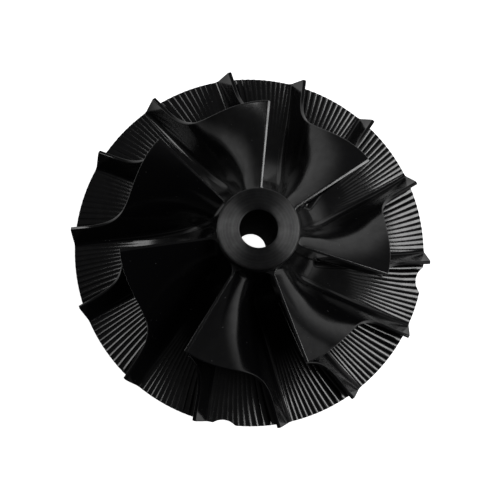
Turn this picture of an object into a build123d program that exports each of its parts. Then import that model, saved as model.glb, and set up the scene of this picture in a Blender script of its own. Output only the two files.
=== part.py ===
"""Radial blower wheel: a turned hub and back disc that carry seven full blades and seven splitter blades.

The bore axis is +Z, the nose (air inlet side) is up, and the origin is the centre of the rear boss face.
Seen from the inlet the wheel turns clockwise: each blade leads with its inlet edge and trails
anticlockwise towards the rim.
"""

import os
from math import cos, radians, sin

import numpy as np
from build123d import *

# Driving dimensions, in millimetres and degrees.
wheel_radius = 57.0
wheel_height = 46.0
bore_radius = 5.0
bore_chamfer = 0.5

nose_radius = 11.0
nose_chamfer = 0.5
nose_base_z = 40.4

rim_top_z = 5.6
rim_back_z = 3.1
rim_chamfer = 0.3
flare_top_z = 19.0
flare_radius = 27.0
boss_radius = 14.0
boss_height = 2.2

full_blades = 7
blade_pitch = 360.0 / full_blades
first_blade_angle = 84.5
splitter_offset = -26.45
inlet_edge_z = 39.4
inlet_tip_radius = 37.3
outlet_tip_z = 12.4
tip_wrap = 39.2
outlet_lean = 3.4
root_thickness = 1.9
tip_thickness = 0.8
inlet_thinning = 0.65
thinned_share = 0.25
splitter_start = 0.355

# The two balance cuts in the rim: direction, depth and the radius of the cutter.
balance_cut_angles = (349.2, 261.1)
balance_cut_depths = (2.0, 1.4)
balance_cutter_radius = 5.5

# Bezier control points (radius, height) of the two edges of the air passage.
hub_line = ((nose_radius, nose_base_z), (13.5, 19.0), (26.0, 6.6), (wheel_radius, rim_top_z))
tip_line = (
    (inlet_tip_radius, inlet_edge_z),
    (inlet_tip_radius + 1.6, inlet_edge_z - 4.3),
    (wheel_radius - 23.1, outlet_tip_z + 4.3),
    (wheel_radius, outlet_tip_z),
)

# Share of the wrap angle reached at a meridional fraction: linear, square and cube terms.
wrap_terms = (3.0, -3.18, 1.18)

# How the blades are lofted: flat sections sunk below the hub and run past the rim, then trimmed.
# The seam of the turned surfaces lies between two blades.
blade_sections = 13
root_overlap = 1.6
outlet_overrun = 1.05
seam_angle = 29.0


def bezier(points, t):
    """Points of a cubic Bezier curve in the (radius, height) plane; t may run a little past 1."""
    p0, p1, p2, p3 = (np.array(p)[:, None] for p in points)
    return (1 - t) ** 3 * p0 + 3 * (1 - t) ** 2 * t * p1 + 3 * (1 - t) * t**2 * p2 + t**3 * p3


class PassageEdge:
    """One edge of the air passage, read by its share of length from the inlet edge's height to the rim."""

    def __init__(self, points):
        t = np.linspace(0.0, 1.12, 600)
        self.radius, self.height = bezier(points, t)
        length = np.concatenate(([0.0], np.cumsum(np.hypot(np.diff(self.radius), np.diff(self.height)))))
        first = np.interp(-inlet_edge_z, -self.height, length)
        last = np.interp(1.0, t, length)
        self.fraction = (length - first) / (last - first)

    def point(self, fraction, angle):
        """Point in space at a share of the edge's length and at an angle about the bore."""
        radius = np.interp(fraction, self.fraction, self.radius)
        height = np.interp(fraction, self.fraction, self.height)
        return np.array([radius * cos(radians(angle)), radius * sin(radians(angle)), height])


hub_edge = PassageEdge(hub_line)
tip_edge = PassageEdge(tip_line)


def blade_line(fraction):
    """Root and tip of the blade's middle surface at a meridional fraction; the inlet edge is at angle 0."""
    linear, square, cube = wrap_terms
    turn = linear * fraction + square * fraction**2 + cube * fraction**3
    lean = outlet_lean * fraction**2
    return hub_edge.point(fraction, tip_wrap * turn + lean), tip_edge.point(fraction, tip_wrap * turn)


def unit(vector):
    return vector / np.linalg.norm(vector)


def blade_section(fraction):
    """Flat trapezium across the blade: thick where it is sunk into the hub, thin at the tip."""
    root, tip = blade_line(fraction)
    step = 0.004
    along = sum(blade_line(fraction + step)) - sum(blade_line(fraction - step))
    span = unit(tip - root)
    across = unit(np.cross(along, span))
    fullness = inlet_thinning + (1 - inlet_thinning) * min(fraction / thinned_share, 1.0)
    taper = (root_thickness - tip_thickness) / np.linalg.norm(tip - root)
    root_half = across * fullness * (root_thickness + taper * root_overlap) / 2
    tip_half = across * fullness * tip_thickness / 2
    sunk = root - span * root_overlap
    corners = (sunk - root_half, sunk + root_half, tip + tip_half, tip - tip_half)
    return Wire.make_polygon([Vector(*corner) for corner in corners], close=True)


def cylinder(radius, height):
    return Rot(0, 0, seam_angle) * Cylinder(radius, height, align=(Align.CENTER, Align.CENTER, Align.MIN))


def make_flow_body():
    """The bell-shaped body that floors the air passages, before it is divided."""
    with BuildPart() as body:
        with BuildSketch(Plane.XZ):
            with BuildLine():
                Bezier(*hub_line)
                Polyline(
                    (wheel_radius, rim_top_z),
                    (wheel_radius, rim_back_z + rim_chamfer),
                    (wheel_radius - rim_chamfer, rim_back_z),
                    (flare_radius, boss_height),
                    (bore_radius, boss_height),
                    (bore_radius, nose_base_z),
                    (nose_radius, nose_base_z),
                )
            make_face()
        revolve(axis=Axis.Z)
    return Rot(0, 0, seam_angle) * body.part


def divide_flow_body(flow_body):
    """Barrel under the nose, flare below it, and the outer disc beyond the flare."""
    core = cylinder(flare_radius, wheel_height)
    lower = cylinder(wheel_radius, flare_top_z)
    return flow_body - lower, flow_body & core & lower, flow_body - core


def cut_balance_notches(disc):
    """Hollow cuts in the rim, made where the wheel was heavy."""
    for angle, depth in zip(balance_cut_angles, balance_cut_depths):
        reach = wheel_radius + balance_cutter_radius - depth
        disc -= Rot(0, 0, angle) * Pos(reach, 0, 0) * cylinder(balance_cutter_radius, wheel_height)
    return disc


def make_nose_collar():
    """Turned collar at the inlet end of the bore; its flat face takes the shaft nut."""
    height = wheel_height - nose_base_z
    collar = cylinder(nose_radius, height) - cylinder(bore_radius, height)
    inner, outer = collar.edges().group_by(Axis.Z)[-1].sort_by(SortBy.RADIUS)
    collar = chamfer(inner, bore_chamfer)
    outer = collar.edges().group_by(Axis.Z)[-1].sort_by(SortBy.RADIUS)[-1]
    return Pos(0, 0, nose_base_z) * chamfer(outer, nose_chamfer)


def make_rear_boss():
    """Raised ring behind the disc that seats against the shoulder of the motor shaft."""
    boss = cylinder(boss_radius, boss_height) - cylinder(bore_radius, boss_height)
    return chamfer(boss.edges().group_by(Axis.Z)[0], bore_chamfer)


def make_blade(start):
    """Untrimmed blade from a meridional fraction to just past the rim."""
    fractions = np.linspace(start, outlet_overrun, blade_sections)
    return Solid.make_loft([blade_section(fraction) for fraction in fractions])


def save(shape, name):
    export_step(shape, os.path.join("parts", name + ".step"))
    print(name, round(shape.volume), "mm3")


def main():
    os.makedirs("parts", exist_ok=True)
    flow_body = make_flow_body()
    hub_barrel, hub_flare, disc = divide_flow_body(flow_body)
    save(hub_barrel, "hub_barrel")
    save(hub_flare, "hub_flare")
    save(cut_balance_notches(disc), "back_disc")
    save(make_nose_collar(), "nose_collar")
    save(make_rear_boss(), "rear_boss")
    envelope = cylinder(wheel_radius, wheel_height)
    full_blade = make_blade(0.0) & envelope
    splitter_blade = make_blade(splitter_start) & envelope
    for k in range(full_blades):
        angle = first_blade_angle - blade_pitch * k
        save(Rot(0, 0, angle) * full_blade - flow_body, f"full_blade_{k + 1}")
        save(Rot(0, 0, angle + splitter_offset) * splitter_blade - flow_body, f"splitter_blade_{k + 1}")


main()
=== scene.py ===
"""Black anodised radial blower wheel, nose up on a pale floor.

Every visible piece is meshed here from the same curves as the CAD model, in more detail: bowed blade roots
with fillets, rounded blade edges, the cutter's scallops on the floor of the air passages and the turned nose.
The wheel is in millimetres until a mesh is written, and the materials and the studio are in metres. Angles
are in degrees.
"""

import bmesh
import bpy
import numpy as np
from mathutils import Matrix, Vector


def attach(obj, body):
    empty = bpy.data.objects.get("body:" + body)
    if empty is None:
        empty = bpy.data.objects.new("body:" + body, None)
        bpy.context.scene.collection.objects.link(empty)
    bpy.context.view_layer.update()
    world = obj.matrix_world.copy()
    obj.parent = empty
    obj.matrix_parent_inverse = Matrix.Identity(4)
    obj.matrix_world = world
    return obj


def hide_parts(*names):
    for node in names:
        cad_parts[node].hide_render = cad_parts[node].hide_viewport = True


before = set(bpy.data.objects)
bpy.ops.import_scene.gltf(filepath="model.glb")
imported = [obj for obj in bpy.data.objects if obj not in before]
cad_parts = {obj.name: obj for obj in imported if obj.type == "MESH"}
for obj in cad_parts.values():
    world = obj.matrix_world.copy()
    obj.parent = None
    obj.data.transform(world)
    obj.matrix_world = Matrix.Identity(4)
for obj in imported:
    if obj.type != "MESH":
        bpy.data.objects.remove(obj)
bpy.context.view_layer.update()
MM = 0.001
MM_PER_CM = 10

# The wheel, as in the CAD model.
WHEEL_RADIUS = 57.0
WHEEL_HEIGHT = 46.0
BORE_RADIUS = 5.0
BORE_CHAMFER = 0.5
NOSE_RADIUS = 11.0
NOSE_BASE_Z = 40.4
RIM_TOP_Z = 5.6
RIM_BACK_Z = 3.1
RIM_CHAMFER = 0.3
FLARE_TOP_Z = 19.0
FLARE_RADIUS = 27.0
BOSS_RADIUS = 14.0
BOSS_HEIGHT = 2.2
FULL_BLADES = 7
BLADE_PITCH = 360.0 / FULL_BLADES
FIRST_BLADE_ANGLE = 84.5
SPLITTER_OFFSET = -26.45
SPLITTER_START = 0.355
INLET_EDGE_Z = 39.4
INLET_TIP_RADIUS = 37.3
OUTLET_TIP_Z = 12.4
TIP_WRAP = 39.2
OUTLET_LEAN = 3.4
CUT_ANGLES = (349.2, 261.1)
CUT_DEPTHS = (2.0, 1.4)
CUTTER_RADIUS = 5.5
HUB_LINE = ((NOSE_RADIUS, NOSE_BASE_Z), (13.5, 19.0), (26.0, 6.6), (WHEEL_RADIUS, RIM_TOP_Z))
TIP_LINE = (
    (INLET_TIP_RADIUS, INLET_EDGE_Z),
    (INLET_TIP_RADIUS + 1.6, INLET_EDGE_Z - 4.3),
    (WHEEL_RADIUS - 23.1, OUTLET_TIP_Z + 4.3),
    (WHEEL_RADIUS, OUTLET_TIP_Z),
)
WRAP_TERMS = (3.0, -3.18, 1.18)

# Blade detail that only the visual model has. The roots of the full blades bow by an angle that rises over a
# short share of their length and fades out between two others.
ROOT_BOW, ROOT_BOW_RISE, ROOT_BOW_FALL, ROOT_BOW_END = 10.0, 0.06, 0.05, 0.33
# Half thicknesses at root and tip: of every blade past the share that thickens, and at the inlet edges.
ROOT_HALF, TIP_HALF = 0.80, 0.50
INLET_HALVES = (0.27, 0.24)
SPLITTER_INLET_HALVES = (0.26, 0.26)
THICKENING_SHARE = 0.22
ROOT_FILLET = 2.0
EDGE_BREAK = 0.10
TIP_BREAK, TIP_BREAK_SHARE = 0.28, 0.8
# The inlet edge of a full blade is bevelled towards the direction of turning: how far below its height each
# side starts, how large each rounding is, and the flat share between them.
INLET_DROPS, INLET_ROUNDINGS, INLET_FLAT = (0.0, 0.11), (0.06, 0.08), (0.2, 0.8)
# The sides go on under the floor, a little inside the rim, so that blade and floor make one surface.
SKIRT = 0.5
SKIRT_COLUMNS = 2
SKIRT_SETBACK = 0.3
SKIRT_Z = RIM_TOP_Z - 0.12

# Passes of the ball cutter over the disc, numbered from the blade tip before them. At LINE_SHARE of the
# wheel's radius, line 0 lies LINE_START past that tip and the next lines follow at LINE_PITCH, which grows a
# little from line to line. The spreads say how much faster both get per share of the radius further out.
BALL_RADIUS = 2.1
FIRST_LINE, LAST_LINE = -1.5, 11.5
LINE_SHARE = 0.975
LINE_START, LINE_START_SPREAD = 5.7, 3.5
LINE_PITCH, LINE_PITCH_SPREAD, LINE_PITCH_GROWTH = 1.58, 0.75, 0.055
SCALLOP_WIDTH = 1.6
SCALLOPS_FADE = (0.475, 0.76)
# Outside this radius the grid of the disc draws in towards the balance cuts.
CUT_BAND_RADIUS = 50.0
RIM_BAND = 1.0
RIM_ROWS = (0.7, 0.45, 0.25, EDGE_BREAK)
RIM_MIDDLE_Z = 4.6
RIM_EASE = 0.04
LIP_EASE_SHARE = 0.3
BACK_RADII = (54.0, 47.0, 40.0, 33.5)
FACES_DOWN = -0.9

# Turned surfaces: the tool's rings on the nose, the roundings, and places half-way along plain walls.
TURNED_PITCH = 0.34
TURNED_DEPTH = 0.007
FACE_MARGIN = 0.05
NOSE_ROUNDING = 0.8
BOSS_ROUNDING = 0.1
BORE_MARGIN = 0.02
BARREL_BORE_Z = 30.0
COLLAR_BORE_Z = 44.0
COLLAR_WALL_Z = (42.0, 41.2)
UNDER_FLARE_RADIUS = 20.0

# How finely the pieces are meshed.
LINE_POINTS, LINE_OVERRUN = 1600, 1.12
LEAD_IN, LEAD_IN_POINTS = 5.0, 120
NEAREST_BATCH = 1500
SLIDE_ROUNDS = 6
FILLET_STEPS = 10
WALL_HEIGHTS = np.concatenate([(0.04, 0.1), np.linspace(0.18, 0.9, 9), (0.96, 0.988, 1.0)])
ARC_STEPS, RIM_ARC_STEPS = 4, 3
INLET_STEPS, INLET_FLAT_POINTS = 10, 5
END_STEPS = 8
INLET_ROWS, BLADE_ROWS = 30, 160
INLET_OVERRUN, SPLITTER_INLET_SPAN, OUTLET_OVERRUN = 0.06, 0.012, 1.07
SEARCH_ROWS = 60
STEPS_PER_SCALLOP, UNDER_BLADE_STEPS, DISC_ROWS = 6, 3, 64
STEPS_PER_RING, NOSE_ARC_STEPS, BORE_ARC_STEPS, BOSS_ARC_STEPS = 6, 10, 8, 4
BARREL_ROWS, FLARE_ROWS = 60, 44
BARREL_COLUMNS, FLARE_COLUMNS, NOSE_COLUMNS, BOSS_COLUMNS = 360, 480, 360, 240
DISC_SHARP, TURNED_SHARP = 10, 24
MERGE_DISTANCE = 2e-7
TINY = 1e-9


def smooth_step(x, low, high):
    t = np.clip((x - low) / (high - low), 0.0, 1.0)
    return t * t * (3 - 2 * t)


def unit(v):
    return v / np.linalg.norm(v, axis=-1, keepdims=True)


def dot(a, b):
    return (a * b).sum(-1, keepdims=True)


def polar(radius, angle, height):
    a = np.radians(angle)
    return np.stack(np.broadcast_arrays(radius * np.cos(a), radius * np.sin(a), height), -1)


def facing(azimuth, rise):
    """Unit vector at an azimuth and a rise above the horizon."""
    a, e = np.radians(azimuth), np.radians(rise)
    return Vector((np.cos(e) * np.cos(a), np.cos(e) * np.sin(a), np.sin(e)))


class PassageEdge:
    """A Bezier curve in the (radius, height) plane, read by its share of length from inlet edge to rim."""

    def __init__(self, points):
        t = np.linspace(0.0, LINE_OVERRUN, LINE_POINTS)
        p0, p1, p2, p3 = (np.array(p)[:, None] for p in points)
        line = (1 - t) ** 3 * p0 + 3 * (1 - t) ** 2 * t * p1 + 3 * (1 - t) * t**2 * p2 + t**3 * p3
        start, toward = np.array(points[0]), unit(np.array(points[0]) - np.array(points[1]))
        ahead = np.linspace(LEAD_IN, 0.0, LEAD_IN_POINTS, endpoint=False)
        line = np.hstack([start[:, None] + toward[:, None] * ahead, line])
        self.radius, self.height = line
        self.length = np.concatenate(([0.0], np.cumsum(np.hypot(*np.diff(line, axis=1)))))
        first = np.interp(-INLET_EDGE_Z, -self.height, self.length)
        below = self.height < INLET_EDGE_Z
        last = np.interp(WHEEL_RADIUS, self.radius[below], self.length[below])
        self.span = last - first
        self.fraction = (self.length - first) / self.span
        slope = np.gradient(line, axis=1)
        self.normal = unit(np.stack([-slope[1], slope[0]], -1))

    def point(self, fraction, angle):
        radius = np.interp(fraction, self.fraction, self.radius)
        return polar(radius, angle, np.interp(fraction, self.fraction, self.height))

    def nearest(self, flat):
        """Index of the curve's point nearest to each (radius, height) point, found in batches."""
        line = np.stack([self.radius, self.height], -1)
        batches = np.array_split(flat, 1 + len(flat) // NEAREST_BATCH)
        return np.concatenate([((batch[:, None] - line) ** 2).sum(-1).argmin(1) for batch in batches])

    def off_by(self, points):
        """Signed distance of points from the surface of revolution, and its outward normals there."""
        r = np.hypot(points[..., 0], points[..., 1])
        flat = np.stack([r, points[..., 2]], -1).reshape(-1, 2)
        near = self.nearest(flat)
        normal = self.normal[near]
        away = flat - np.stack([self.radius[near], self.height[near]], -1)
        distance = (away * normal).sum(-1).reshape(r.shape)
        normal = normal.reshape(r.shape + (2,))
        out = points[..., :2] / r[..., None]
        return distance, np.concatenate([normal[..., :1] * out, normal[..., 1:]], -1)


hub_edge = PassageEdge(HUB_LINE)
tip_edge = PassageEdge(TIP_LINE)


def blade_line(f):
    """Root and tip of the blade's middle surface at meridional fractions f; the inlet edge is at angle 0."""
    linear, square, cube = WRAP_TERMS
    turn = linear * f + square * f**2 + cube * f**3
    bow = ROOT_BOW * np.tanh(f / ROOT_BOW_RISE) * (1 - smooth_step(f, ROOT_BOW_FALL, ROOT_BOW_END))
    return hub_edge.point(f, TIP_WRAP * turn + OUTLET_LEAN * f**2 + bow), tip_edge.point(f, TIP_WRAP * turn)


def slide(points, direction, edge, target):
    """Moves points along direction until they stand target above a surface of revolution."""
    for _ in range(SLIDE_ROUNDS):
        distance, normal = edge.off_by(points)
        points = points + direction * (target - distance)[..., None] / dot(normal, direction)
    return points


def blend_arc(a, corner, b, steps):
    """Points on the rounded way from a to b around a corner, without a and b."""
    t = (np.arange(1, steps) / steps)[:, None, None]
    return (1 - t) ** 2 * a + 2 * t * (1 - t) * corner + t**2 * b


def mesh_piece(name, slot_name, node, points, faces, material, uv=None, sharp=None, merge=False):
    """Writes points in millimetres and their faces as a closed mesh that stands for a CAD node."""
    mesh = bpy.data.meshes.new(name)
    mesh.from_pydata((points.reshape(-1, 3) * MM).tolist(), [], faces)
    if uv is not None:
        corner_vertex = np.empty(len(mesh.loops), dtype=np.int32)
        mesh.loops.foreach_get("vertex_index", corner_vertex)
        layer = mesh.uv_layers.new(name="along_across")
        layer.data.foreach_set("uv", uv.reshape(-1, 2)[corner_vertex].astype(np.float32).ravel())
    bm = bmesh.new()
    bm.from_mesh(mesh)
    if merge:
        bmesh.ops.remove_doubles(bm, verts=bm.verts, dist=MERGE_DISTANCE)
    bmesh.ops.recalc_face_normals(bm, faces=bm.faces)
    bm.to_mesh(mesh)
    bm.free()
    mesh.shade_smooth()
    if sharp:
        mesh.set_sharp_from_angle(angle=np.radians(sharp))
    mesh.materials.append(material)
    piece = bpy.data.objects.new(name, mesh)
    bpy.context.collection.objects.link(piece)
    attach(piece, "root")
    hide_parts(node)
    return piece


def second_material(piece, material, wanted):
    """Gives another material to the faces that are wanted."""
    piece.data.materials.append(material)
    for face in piece.data.polygons:
        if wanted(face):
            face.material_index = 1


def grid_faces(rows, columns, wrap_columns=False):
    """Quads between neighbours of a grid of points whose last row meets its first."""
    i = np.arange(rows)[:, None]
    j = np.arange(columns if wrap_columns else columns - 1)[None, :]
    i2, j2 = (i + 1) % rows, (j + 1) % columns
    corners = (i * columns + j, i * columns + j2, i2 * columns + j2, i2 * columns + j)
    return np.stack(np.broadcast_arrays(*corners), -1).reshape(-1, 4).tolist()


# The blades.


def blade_wall(root, tip, toward_root, toward_tip, root_half, tip_half):
    """Columns of points from under the floor, through the root fillet and up the wall, to mid-tip."""
    foot = root + toward_root * root_half[:, None]
    head = tip + toward_tip * tip_half[:, None]
    rise = unit(head - foot)
    outward = unit(toward_root - dot(toward_root, rise) * rise)
    ball = slide(foot + outward * ROOT_FILLET, rise, hub_edge, ROOT_FILLET)
    hub_normal = hub_edge.off_by(ball)[1]
    lift = np.arccos(np.clip(dot(-hub_normal, -outward), -1, 1))
    t = np.linspace(0, 1, FILLET_STEPS + 1)[:, None, None]
    way = (np.sin((1 - t) * lift) * -hub_normal + np.sin(t * lift) * -outward) / np.sin(lift)
    fillet = ball + ROOT_FILLET * way
    under = fillet[0] - hub_normal * SKIRT
    base = root - hub_edge.off_by(root)[1] * 2 * SKIRT
    top = slide(head, rise, tip_edge, 0.0)
    half = np.linalg.norm(tip - top, axis=-1, keepdims=True)
    reach = np.minimum(TIP_BREAK, TIP_BREAK_SHARE * half)
    break_low = top - rise * reach
    break_in = top + (tip - top) / np.maximum(half, TINY) * reach
    wall = fillet[-1] + WALL_HEIGHTS[:, None, None] * (break_low - fillet[-1])
    rounding = blend_arc(break_low, top, break_in, ARC_STEPS)
    columns = [base[None], under[None], fillet, wall, rounding, break_in[None], tip[None]]
    return np.concatenate(columns).transpose(1, 0, 2)


def close_at_rim(end_a, next_a, end_b, next_b):
    """Rows across the end at the rim, from the last row of side a to that of side b, with broken edges."""
    middle = (end_a + end_b) / 2
    lows, rims = [], []
    for end, following in ((end_a, next_a), (end_b, next_b)):
        room = np.linalg.norm(middle - end, axis=-1, keepdims=True)
        back = following - end
        back = back / np.maximum(np.linalg.norm(back, axis=-1, keepdims=True), TINY)
        reach = np.minimum(EDGE_BREAK, room / 2)
        low, high = end + back * reach, end + (middle - end) / np.maximum(room, TINY) * reach
        lows.append(low)
        rims.append(np.concatenate([blend_arc(low, end, high, RIM_ARC_STEPS), high[None]]))
    share = np.linspace(0, 1, END_STEPS + 1)[1:-1, None, None]
    across = on_rim(rims[0][-1] + share * (rims[1][-1] - rims[0][-1]))
    return lows, np.concatenate([rims[0], across, rims[1][::-1]])


def on_rim(points):
    """Points brought to the rim's radius, apart from those that lie under the floor."""
    radius = np.hypot(points[..., 0], points[..., 1])
    scale = np.where(points[..., 2] < SKIRT_Z, 1.0, WHEEL_RADIUS / radius)
    return points * np.stack([scale, scale, np.ones_like(scale)], -1)


def cut_to(side, measure, limits, at_start):
    """Slides the lines that run along a blade so that each starts or ends at its limit of a measure."""
    index = np.arange(len(side), dtype=float)
    rows = slice(0, SEARCH_ROWS) if at_start else slice(-SEARCH_ROWS, None)
    result = np.empty_like(side)
    for column, limit in enumerate(limits):
        found = np.interp(limit, measure[rows, column], index[rows])
        first, last = (found, index[-1]) if at_start else (0.0, found)
        at = first + (last - first) * index / index[-1]
        for axis in range(3):
            result[:, column, axis] = np.interp(at, index, side[:, column, axis])
    return result


def cut_to_rim(side):
    """A side that ends at the rim, and a little inside it under the floor."""
    limits = np.full(side.shape[1], WHEEL_RADIUS)
    limits[:SKIRT_COLUMNS] -= SKIRT_SETBACK
    return cut_to(side, np.hypot(side[..., 0], side[..., 1]), limits, at_start=False)


def bevelled_inlet(sides):
    """Both sides cut to the height of the inlet edge, and the rows across the edge between them."""
    corners, starts = [], []
    for side, drop, rounding in zip(sides, INLET_DROPS, INLET_ROUNDINGS):
        edge = np.full(side.shape[1], drop - INLET_EDGE_Z)
        corners.append(cut_to(side, -side[..., 2], edge, at_start=True)[:1])
        starts.append(cut_to(side, -side[..., 2], edge + rounding, at_start=True))
    share = np.linspace(*INLET_FLAT, INLET_FLAT_POINTS)[:, None, None]
    flat = corners[0] + share * (corners[1] - corners[0])
    ahead = blend_arc(starts[0][:1], corners[0], flat[:1], ARC_STEPS)
    behind = blend_arc(flat[-1:], corners[1], starts[1][:1], ARC_STEPS)
    return starts, np.concatenate([ahead, flat, behind])


def round_inlet(root, tip, span, root_across, tip_across, root_half, tip_half, along):
    """Rows round the inlet edge of a splitter blade, from one side to the other."""
    turn = np.linspace(0, np.pi, INLET_STEPS + 1)[1:-1, None]
    root_ahead, tip_ahead = -np.cross(root_across, span), -np.cross(tip_across, span)
    if np.dot(root_ahead, along) > 0:
        root_ahead, tip_ahead = -root_ahead, -tip_ahead
    around_root = np.cos(turn) * root_across + np.sin(turn) * root_ahead
    around_tip = np.cos(turn) * tip_across + np.sin(turn) * tip_ahead
    same = np.ones((len(turn), 1))
    halves = (half * same[:, 0] for half in (root_half, tip_half))
    return blade_wall(root * same, tip * same, around_root, around_tip, *halves)


def blade_points(start, inlet_halves):
    """Closed grid of points round a blade at angle 0: one side, its inlet edge, the other side, the rim."""
    full = start == 0
    first = -INLET_OVERRUN if full else start + inlet_halves[1] / tip_edge.span
    near = first + (INLET_OVERRUN if full else SPLITTER_INLET_SPAN)
    at_inlet = np.linspace(first, near, INLET_ROWS, endpoint=False)
    f = np.concatenate([at_inlet, np.linspace(near, OUTLET_OVERRUN, BLADE_ROWS)])
    root, tip = blade_line(f)
    step = 1e-3
    after, before = blade_line(f + step), blade_line(f - step)
    root_along, tip_along = after[0] - before[0], after[1] - before[1]
    span = unit(tip - root)
    root_across, tip_across = unit(np.cross(span, root_along)), unit(np.cross(span, tip_along))
    fullness = np.clip(smooth_step(f - start, -THICKENING_SHARE, THICKENING_SHARE) * 2 - 1, 0, 1)
    root_half = inlet_halves[0] + (ROOT_HALF - inlet_halves[0]) * fullness
    tip_half = inlet_halves[1] + (TIP_HALF - inlet_halves[1]) * fullness
    walls = (blade_wall(root, tip, s * root_across, s * tip_across, root_half, tip_half) for s in (1, -1))
    sides = [cut_to_rim(wall) for wall in walls]
    if full:
        sides, inlet = bevelled_inlet(sides)
    else:
        lines = (root, tip, span, root_across, tip_across, root_half, tip_half, root_along)
        inlet = round_inlet(*(line[0] for line in lines))
    (b, a), outlet = close_at_rim(sides[1][-1], sides[1][-2], sides[0][-1], sides[0][-2])
    sides[1][-1], sides[0][-1] = b, a
    return np.concatenate([sides[0][::-1], inlet, sides[1], outlet])


def turned_by(angle):
    """Matrix that turns rows of points about the bore."""
    a = np.radians(angle)
    return np.array([[np.cos(a), np.sin(a), 0], [-np.sin(a), np.cos(a), 0], [0, 0, 1]])


def running_length(points, axis):
    """Distance along lines of points from their first point."""
    steps = np.linalg.norm(np.diff(points, axis=axis), axis=-1).cumsum(axis)
    return np.insert(steps, 0, 0.0, axis=axis)


def blade_uv(points):
    """Distances along and up the blade, in centimetres, for the mill marks."""
    up = running_length(points, 1)
    along = running_length(points[:, points.shape[1] // 2], 0)
    return np.stack([np.broadcast_to(along[:, None], up.shape), up], -1) / MM_PER_CM


def build_blades(material):
    kinds = (
        ("full_blade", 0.0, 0.0, INLET_HALVES),
        ("splitter_blade", SPLITTER_START, SPLITTER_OFFSET, SPLITTER_INLET_HALVES),
    )
    for kind, start, offset, inlet_halves in kinds:
        points = blade_points(start, inlet_halves)
        uv = blade_uv(points)
        faces = grid_faces(*points.shape[:2])
        for k in range(FULL_BLADES):
            name = f"{kind}_{k + 1}"
            placed = points @ turned_by(FIRST_BLADE_ANGLE - BLADE_PITCH * k + offset)
            mesh_piece("milled_" + name, kind + "s", name, placed, faces, material, uv=uv, merge=True)


# The disc and the hub.


def hub_height(radius):
    return np.interp(radius, hub_edge.radius, hub_edge.height)


def cutter_line(line, share):
    """Angle of a pass line past the tip of the blade before it, at a share of the wheel's radius."""
    outward = share - LINE_SHARE
    start, pitch = LINE_START + LINE_START_SPREAD * outward, LINE_PITCH + LINE_PITCH_SPREAD * outward
    return start + pitch * line + LINE_PITCH_GROWTH / 2 * line**2


def scallop_height(line, radius):
    """Height of the cusps left between the passes of the ball cutter, none under the blades."""
    outward = radius / WHEEL_RADIUS - LINE_SHARE
    pitch = LINE_PITCH + LINE_PITCH_SPREAD * outward + LINE_PITCH_GROWTH * np.nan_to_num(line)
    off = (line - np.round(line)) * np.radians(pitch) * radius
    height = BALL_RADIUS - np.sqrt(BALL_RADIUS**2 - off**2)
    return np.nan_to_num(height) * smooth_step(radius / WHEEL_RADIUS, *SCALLOPS_FADE)


def rim_radius(angle):
    """Radius of the disc's edge, which is less at the balance cuts."""
    result = np.full_like(angle, WHEEL_RADIUS)
    for cut, depth in zip(CUT_ANGLES, CUT_DEPTHS):
        away = np.radians(angle - cut)
        reach = WHEEL_RADIUS + CUTTER_RADIUS - depth
        inside = CUTTER_RADIUS**2 - (reach * np.sin(away)) ** 2
        edge = reach * np.cos(away) - np.sqrt(np.maximum(inside, 0))
        hit = (inside > 0) & (np.cos(away) > 0)
        result = np.where(hit, np.minimum(result, edge), result)
    return result


def floor_grid(radii):
    """Angles and pass lines of the grid on the disc's top; columns under a blade have no pass line."""
    lines = np.linspace(FIRST_LINE, LAST_LINE, int(LAST_LINE - FIRST_LINE) * STEPS_PER_SCALLOP + 1)
    share = (radii / WHEEL_RADIUS)[:, None]
    tips = []
    for k in range(FULL_BLADES):
        full = FIRST_BLADE_ANGLE + TIP_WRAP + BLADE_PITCH * k
        tips += [full, full + BLADE_PITCH + SPLITTER_OFFSET]
    tips.append(tips[0] + 360)
    # A passage is wider or narrower than the average one, and its passes spread in proportion.
    widths = np.diff(tips) / (BLADE_PITCH / 2)
    passages = [tip + width * cutter_line(lines, share) for tip, width in zip(tips, widths)]
    following = [passage[:, :1] for passage in passages[1:]] + [passages[0][:, :1] + 360]
    t = np.linspace(0, 1, UNDER_BLADE_STEPS + 2)[1:-1]
    angles, places = [], []
    for passage, after in zip(passages, following):
        angles += [passage, passage[:, -1:] * (1 - t) + after * t]
        places += [np.broadcast_to(lines, passage.shape), np.full((len(radii), len(t)), np.nan)]
    return np.concatenate(angles, 1), np.concatenate(places, 1)


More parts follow.
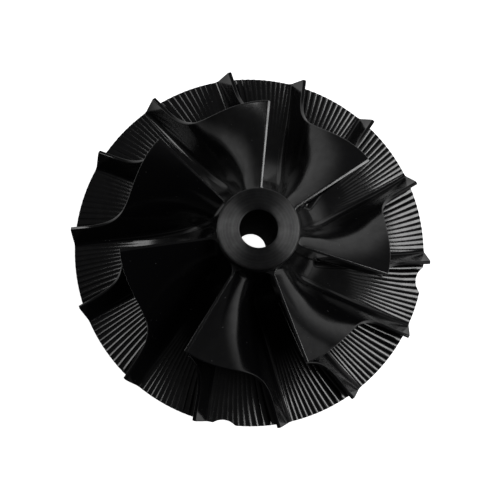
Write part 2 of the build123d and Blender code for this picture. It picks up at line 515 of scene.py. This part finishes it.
def build_disc(material, back_material):
    inner = np.linspace(FLARE_RADIUS, WHEEL_RADIUS - RIM_BAND, DISC_ROWS)
    radii = np.concatenate([inner, WHEEL_RADIUS - np.array(RIM_ROWS)])
    angle, line = floor_grid(radii)
    edge = rim_radius(angle[-1])
    drawn = np.clip((radii - CUT_BAND_RADIUS) / (WHEEL_RADIUS - CUT_BAND_RADIUS), 0, None)
    radius = radii[:, None] - drawn[:, None] * (WHEEL_RADIUS - edge)
    height = hub_height(radius) + scallop_height(line, radius)

    # Down the rim: how far inside its edge, and how high.
    lip, ease = height[-1], EDGE_BREAK * LIP_EASE_SHARE
    rim = (
        (ease, lip - ease),
        (0.0, lip - EDGE_BREAK),
        (0.0, RIM_MIDDLE_Z),
        (0.0, RIM_BACK_Z + RIM_CHAMFER + 1.5 * RIM_EASE),
        (RIM_EASE, RIM_BACK_Z + RIM_CHAMFER - RIM_EASE),
        (RIM_CHAMFER - RIM_EASE, RIM_BACK_Z + RIM_EASE),
        (RIM_CHAMFER + 1.5 * RIM_EASE, RIM_BACK_Z - RIM_EASE / 4),
    )
    rings = [polar(edge - inside, angle[-1], z) for inside, z in rim]
    slope = (RIM_BACK_Z - BOSS_HEIGHT) / (WHEEL_RADIUS - RIM_CHAMFER - FLARE_RADIUS)
    rings += [polar(r, angle[-1], BOSS_HEIGHT + slope * (r - FLARE_RADIUS)) for r in BACK_RADII]
    rings.append(polar(FLARE_RADIUS, angle[0], BOSS_HEIGHT))

    points = np.concatenate([polar(radius, angle, height), np.stack(rings)])
    uv = np.stack([radius, np.nan_to_num(line) * SCALLOP_WIDTH], -1) / MM_PER_CM
    uv = np.concatenate([uv, np.zeros((len(rings),) + uv.shape[1:])])
    faces = grid_faces(*points.shape[:2], wrap_columns=True)
    surface = {"uv": uv, "sharp": DISC_SHARP}
    piece = mesh_piece("milled_back_disc", "disc", "back_disc", points, faces, material, **surface)
    second_material(piece, back_material, lambda face: face.normal.z < FACES_DOWN)


def build_turned(name, slot_name, node, sections, material, bore_painted_shade, columns):
    """A closed ring turned from a profile of (radius, height) points."""
    profile = np.concatenate(sections)
    angle = np.arange(columns) * 360.0 / columns
    points = polar(profile[:, :1], angle[None, :], profile[:, 1:])
    faces = grid_faces(*points.shape[:2], wrap_columns=True)
    piece = mesh_piece(name, slot_name, node, points, faces, material, sharp=TURNED_SHARP)
    # The faces of the bore wall get the painted shade, a dead black material without reflection.
    bore_reach = (BORE_RADIUS + BORE_MARGIN) * MM
    second_material(piece, bore_painted_shade, lambda face: face.center.xy.length < bore_reach)


def rounded(corners, radius, steps):
    """A polyline with its inner corners rounded off."""
    corners = [np.array(c, dtype=float) for c in corners]
    line = [corners[0]]
    for before, corner, after in zip(corners, corners[1:], corners[2:]):
        a = corner + unit(before - corner) * radius
        b = corner + unit(after - corner) * radius
        t = np.linspace(0, 1, steps + 1)[:, None]
        line += list((1 - t) ** 2 * a + 2 * t * (1 - t) * corner + t**2 * b)
    line.append(corners[-1])
    return np.array(line)


def hub_profile(low_z, high_z, rows):
    """Part of the hub's outline, downwards."""
    inside = (hub_edge.height >= low_z - TINY) & (hub_edge.height <= high_z + TINY)
    length = hub_edge.length[inside]
    at = np.linspace(length[0], length[-1], rows)
    radius, height = (np.interp(at, hub_edge.length, values) for values in (hub_edge.radius, hub_edge.height))
    return np.stack([radius, height], -1)


def build_hub(milled, bore):
    barrel = hub_profile(FLARE_TOP_Z, NOSE_BASE_Z, BARREL_ROWS)
    barrel[-1, 1] = FLARE_TOP_Z
    up_bore = [(BORE_RADIUS, z) for z in (FLARE_TOP_Z, BARREL_BORE_Z, NOSE_BASE_Z)]
    build_turned("milled_hub_barrel", "hub", "hub_barrel", [barrel, up_bore], milled, bore, BARREL_COLUMNS)

    flare_z = hub_height(FLARE_RADIUS)
    flare = hub_profile(flare_z, FLARE_TOP_Z, FLARE_ROWS)
    flare[0] = barrel[-1]
    flare[-1] = (FLARE_RADIUS, flare_z)
    under = [(r, BOSS_HEIGHT) for r in (FLARE_RADIUS, UNDER_FLARE_RADIUS, BOSS_RADIUS, BORE_RADIUS)]
    under.append((BORE_RADIUS, FLARE_TOP_Z))
    build_turned("milled_hub_flare", "hub", "hub_flare", [flare, under], milled, bore, FLARE_COLUMNS)


def build_nose(turned, bore):
    """The collar: shallow tool rings on its face, a rounded outer edge and a rounded mouth to the bore."""
    inside, outside = BORE_RADIUS + BORE_CHAMFER + FACE_MARGIN, NOSE_RADIUS - NOSE_ROUNDING - FACE_MARGIN
    face = np.arange(inside, outside, TURNED_PITCH / STEPS_PER_RING)
    phase = face / TURNED_PITCH % 1.0
    top = np.stack([face, WHEEL_HEIGHT - TURNED_DEPTH * (1 - (2 * phase - 1) ** 2)], -1)
    outer = [top[-1], (NOSE_RADIUS, WHEEL_HEIGHT), (NOSE_RADIUS, COLLAR_WALL_Z[0])]
    outer = rounded(outer, NOSE_ROUNDING, NOSE_ARC_STEPS)[1:]
    base = [(NOSE_RADIUS, COLLAR_WALL_Z[1]), (NOSE_RADIUS, NOSE_BASE_Z), (BORE_RADIUS, NOSE_BASE_Z)]
    mouth = [(BORE_RADIUS, COLLAR_BORE_Z), (BORE_RADIUS, WHEEL_HEIGHT), top[0]]
    mouth = rounded(mouth, BORE_CHAMFER, BORE_ARC_STEPS)[:-1]
    sections = [top, outer, base, mouth]
    build_turned("turned_nose_collar", "nose", "nose_collar", sections, turned, bore, NOSE_COLUMNS)


def build_rear_boss(turned, bore):
    corners = (
        (BORE_RADIUS, BOSS_HEIGHT),
        (BORE_RADIUS, BORE_CHAMFER),
        (BORE_RADIUS + BORE_CHAMFER, 0.0),
        (BOSS_RADIUS - BORE_CHAMFER, 0.0),
        (BOSS_RADIUS, BORE_CHAMFER),
        (BOSS_RADIUS, BOSS_HEIGHT),
    )
    sections = [rounded(corners, BOSS_ROUNDING, BOSS_ARC_STEPS)]
    build_turned("turned_rear_boss", "hub", "rear_boss", sections, turned, bore, BOSS_COLUMNS)


# The materials. Noise scales are per metre, and bump distances are in metres.

ANODISE = (0.004, 0.004, 0.0045, 1.0)
ANODISE_IOR = 1.6
# Painted shade for the bore wall: nearly black, and its material gives no reflection.
BORE_PAINTED_SHADE = (0.003, 0.003, 0.003, 1.0)
DUST_GREY = (0.25, 0.25, 0.25, 1.0)
GRAIN_SCALE, RING_SCALE = 2600.0, 2600.0
# The mill marks are long along a pass and narrow across it.
MILL_STRETCH = (0.6, 26.0, 1.0)


class Nodes:
    """Short way to write a node material."""

    def __init__(self, name):
        self.material = bpy.data.materials.new(name)
        self.material.use_nodes = True
        self.tree = self.material.node_tree
        self.tree.nodes.clear()

    def add(self, kind, settings=None, **inputs):
        """A node with its settings, and its inputs by name, or by number after an underscore."""
        node = self.tree.nodes.new("ShaderNode" + kind)
        for key, value in (settings or {}).items():
            setattr(node, key, value)
        for key, value in inputs.items():
            by_number = key[0] == "_"
            socket = node.inputs[int(key[1:]) if by_number else key.replace("_", " ")]
            if isinstance(value, bpy.types.NodeSocket):
                self.tree.links.new(value, socket)
            else:
                socket.default_value = value
        return node

    def math(self, operation, a, b=0.0):
        return self.add("Math", {"operation": operation}, _0=a, _1=b).outputs[0]

    def weighted(self, a, share_a, b, share_b):
        return self.math("ADD", self.math("MULTIPLY", a, share_a), self.math("MULTIPLY", b, share_b))

    def ramp(self, value, between, to):
        limits = dict(zip(("From_Min", "From_Max", "To_Min", "To_Max"), between + to))
        return self.add("MapRange", Value=value, **limits).outputs[0]

    def noise(self, vector, scale, detail=3.0, roughness=0.5):
        return self.add("TexNoise", Vector=vector, Scale=scale, Detail=detail, Roughness=roughness).outputs[0]

    def stretch(self, vector, scale):
        return self.add("Mapping", Vector=vector, Scale=scale).outputs[0]

    def bump(self, height, strength, distance):
        return self.add("Bump", Strength=strength, Distance=distance, Height=height).outputs[0]

    def output(self, shader):
        out = self.tree.nodes.new("ShaderNodeOutputMaterial")
        self.tree.links.new(shader.outputs[0], out.inputs["Surface"])
        return self.material


def milled_material(name):
    """Black anodised, milled: faint lines along the ball cutter's passes, satin grain, dust specks."""
    n = Nodes(name)
    place = n.add("TexCoord").outputs["Object"]
    uv = n.add("UVMap", {"uv_map": "along_across"}).outputs[0]
    grain = n.noise(place, GRAIN_SCALE, 2.0)
    lines = n.noise(n.stretch(uv, MILL_STRETCH), 1.0)
    bump = n.bump(n.weighted(grain, 0.12, lines, 0.7), strength=0.35, distance=0.00002)
    rough = n.ramp(n.noise(place, 90.0, 4.0, 0.6), between=(0.3, 0.7), to=(0.13, 0.18))
    level = n.ramp(n.noise(place, 300.0, 5.0, 0.7), between=(0.35, 0.65), to=(0.42, 0.58))
    finish = {"Base_Color": ANODISE, "IOR": ANODISE_IOR, "Roughness": rough, "Specular_IOR_Level": level}
    clean = n.add("BsdfPrincipled", Normal=bump, **finish)
    dusty = n.add("BsdfDiffuse", Color=DUST_GREY)
    dust = n.ramp(n.noise(place, 1500.0, 0.0), between=(0.84, 0.88), to=(0.0, 0.25))
    return n.output(n.add("MixShader", _0=dust, _1=clean.outputs[0], _2=dusty.outputs[0]))


def turned_material(name):
    """Black anodised, turned: sheen drawn out along the tool's rings."""
    n = Nodes(name)
    place = n.add("TexCoord").outputs["Object"]
    tangent = n.add("Tangent", {"direction_type": "RADIAL", "axis": "Z"}).outputs[0]
    x, y, z = n.add("SeparateXYZ", _0=place).outputs
    radius = n.math("SQRT", n.math("ADD", n.math("MULTIPLY", x, x), n.math("MULTIPLY", y, y)))
    section = n.add("CombineXYZ", X=radius, Z=z).outputs[0]
    rings = n.noise(section, RING_SCALE, 4.0, 0.7)
    grain = n.noise(place, GRAIN_SCALE, 2.0)
    bump = n.bump(n.weighted(rings, 1.0, grain, 0.2), strength=0.6, distance=0.00005)
    rough = n.ramp(n.noise(place, 160.0, 4.0, 0.6), between=(0.3, 0.7), to=(0.34, 0.40))
    bands, patches = n.noise(section, 1500.0, 4.0, 0.7), n.noise(place, 420.0, 4.0, 0.7)
    level = n.ramp(n.weighted(bands, 0.65, patches, 0.35), between=(0.38, 0.62), to=(0.32, 0.68))
    finish = {"Base_Color": ANODISE, "IOR": ANODISE_IOR, "Roughness": rough, "Specular_IOR_Level": level}
    sheen = {"Anisotropic": 0.95, "Anisotropic_Rotation": 0.25, "Tangent": tangent}
    return n.output(n.add("BsdfPrincipled", Normal=bump, **finish, **sheen))


def painted_shade_bore_material(name):
    """The reamed bore: painted shade, a dead black wall without reflection that stands in for the shade in
    its depth.
    """
    n = Nodes(name)
    place = n.add("TexCoord").outputs["Object"]
    marks = n.noise(n.stretch(place, (1.0, 1.0, 9.0)), 1500.0, 2.0)
    bump = n.bump(marks, strength=0.4, distance=0.00002)
    return n.output(n.add("BsdfPrincipled", Base_Color=BORE_PAINTED_SHADE, Roughness=0.9, IOR=1.05, Normal=bump))


bore_painted_shade = painted_shade_bore_material("black_painted_shade_bore")
milled = milled_material("black_anodised_milled")
turned = turned_material("black_anodised_turned")
build_blades(milled)
build_disc(milled, turned)
build_hub(milled, bore_painted_shade)
build_nose(turned, bore_painted_shade)
build_rear_boss(turned, bore_painted_shade)

# The CAD nodes stay hidden behind their pieces, in the same finish.
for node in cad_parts.values():
    node.data.materials.clear()
    node.data.materials.append(milled)


# The studio.

WHITE = (1, 1, 1, 1)
PAPER_WHITE = (0.85, 0.85, 0.85, 1.0)
FLOOR_REACH, FLOOR_Z = 3.0, -0.0001


def make_floor():
    """Pale floor just under the boss, which glows white to the camera and gives the wheel no light."""
    reach, z = FLOOR_REACH, FLOOR_Z
    mesh = bpy.data.meshes.new("floor")
    corners = [(-reach, -reach, z), (reach, -reach, z), (reach, reach, z), (-reach, reach, z)]
    mesh.from_pydata(corners, [], [(0, 1, 2, 3)])
    n = Nodes("white_sweep")
    paper = n.add("BsdfDiffuse", Color=PAPER_WHITE)
    glow = n.add("Emission", Color=WHITE, Strength=1.0)
    mesh.materials.append(n.output(n.add("AddShader", _0=paper.outputs[0], _1=glow.outputs[0])))
    floor = bpy.data.objects.new("floor", mesh)
    bpy.context.collection.objects.link(floor)
    floor.visible_diffuse = floor.visible_glossy = floor.visible_shadow = False
    return floor


make_floor()
LAMP_AIM, LAMP_DISTANCE = Vector((0, 0, 0.015)), 0.9


def softbox(name, azimuth, rise, width, height, radiance):
    """A rectangular lamp that faces the wheel; radiance is what its face would look like."""
    toward = facing(azimuth, rise)
    light = bpy.data.lights.new(name, "AREA")
    light.shape = "RECTANGLE"
    light.size, light.size_y = width, height
    light.energy = radiance * np.pi * width * height
    lamp = bpy.data.objects.new(name, light)
    lamp.location = LAMP_AIM + toward * LAMP_DISTANCE
    lamp.rotation_euler = toward.to_track_quat("Z", "Y").to_euler()
    bpy.context.collection.objects.link(lamp)


softbox("key", azimuth=13, rise=62, width=0.66, height=0.27, radiance=6.0)
softbox("right", azimuth=12, rise=32, width=0.45, height=0.5, radiance=0.3)
softbox("left", azimuth=165, rise=44, width=0.3, height=0.25, radiance=3.2)

# Surround that lights the wheel dimly: pale on the first blade's side, most of all low down, and nearly black
# on the other. Each fade has the azimuth and rise that it runs toward, the cosines between which it changes,
# and its levels there.
SIDES = {"toward": (85, 0), "between": (-0.62, -0.28), "levels": (0.03, 1.0)}
HEIGHTS = {"toward": (-90, 76), "between": (-0.28, 0.15), "levels": (0.50, 0.06)}


def make_surround():
    """The surround's light, behind a white backdrop that only the camera sees."""
    world = bpy.data.worlds.new("studio")
    world.use_nodes = True
    tree = world.node_tree
    view = tree.nodes.new("ShaderNodeTexCoord").outputs["Generated"]

    def faded(toward, between, levels):
        along = tree.nodes.new("ShaderNodeVectorMath")
        along.operation = "DOT_PRODUCT"
        along.inputs[1].default_value = facing(*toward)
        fade = tree.nodes.new("ShaderNodeMapRange")
        fade.interpolation_type = "SMOOTHSTEP"
        for socket, value in zip(("From Min", "From Max", "To Min", "To Max"), between + levels):
            fade.inputs[socket].default_value = value
        tree.links.new(view, along.inputs[0])
        tree.links.new(along.outputs["Value"], fade.inputs["Value"])
        return fade.outputs["Result"]

    product = tree.nodes.new("ShaderNodeMath")
    product.operation = "MULTIPLY"
    tree.links.new(faded(**SIDES), product.inputs[0])
    tree.links.new(faded(**HEIGHTS), product.inputs[1])
    surround = tree.nodes["Background"]
    backdrop = tree.nodes.new("ShaderNodeBackground")
    for background in (surround, backdrop):
        background.inputs["Color"].default_value = WHITE
    tree.links.new(product.outputs[0], surround.inputs["Strength"])
    ray, choice = tree.nodes.new("ShaderNodeLightPath"), tree.nodes.new("ShaderNodeMixShader")
    tree.links.new(ray.outputs["Is Camera Ray"], choice.inputs[0])
    tree.links.new(surround.outputs[0], choice.inputs[1])
    tree.links.new(backdrop.outputs[0], choice.inputs[2])
    tree.links.new(choice.outputs[0], tree.nodes["World Output"].inputs["Surface"])
    return world


bpy.context.scene.world = make_surround()

# The camera stands nearly over the nose: its line of sight leans from the bore's about a level axis and
# passes just beside the origin.
CAMERA_LEAN, LEAN_AXIS = 7.162, 158.787
CAMERA_DISTANCE = 0.20506
CAMERA_OFFSET = (-0.0002232, -0.0002571)
CAMERA_LENS = 43.99


def make_camera():
    data = bpy.data.cameras.new("camera")
    data.lens = CAMERA_LENS
    data.clip_start = 0.01
    camera = bpy.data.objects.new("camera", data)
    lean = Matrix.Rotation(-np.radians(CAMERA_LEAN), 4, facing(LEAN_AXIS, 0))
    camera.matrix_world = lean @ Matrix.Translation((*CAMERA_OFFSET, CAMERA_DISTANCE))
    bpy.context.collection.objects.link(camera)
    return camera


bpy.context.scene.camera = make_camera()
bpy.context.scene.view_settings.view_transform = "Standard"
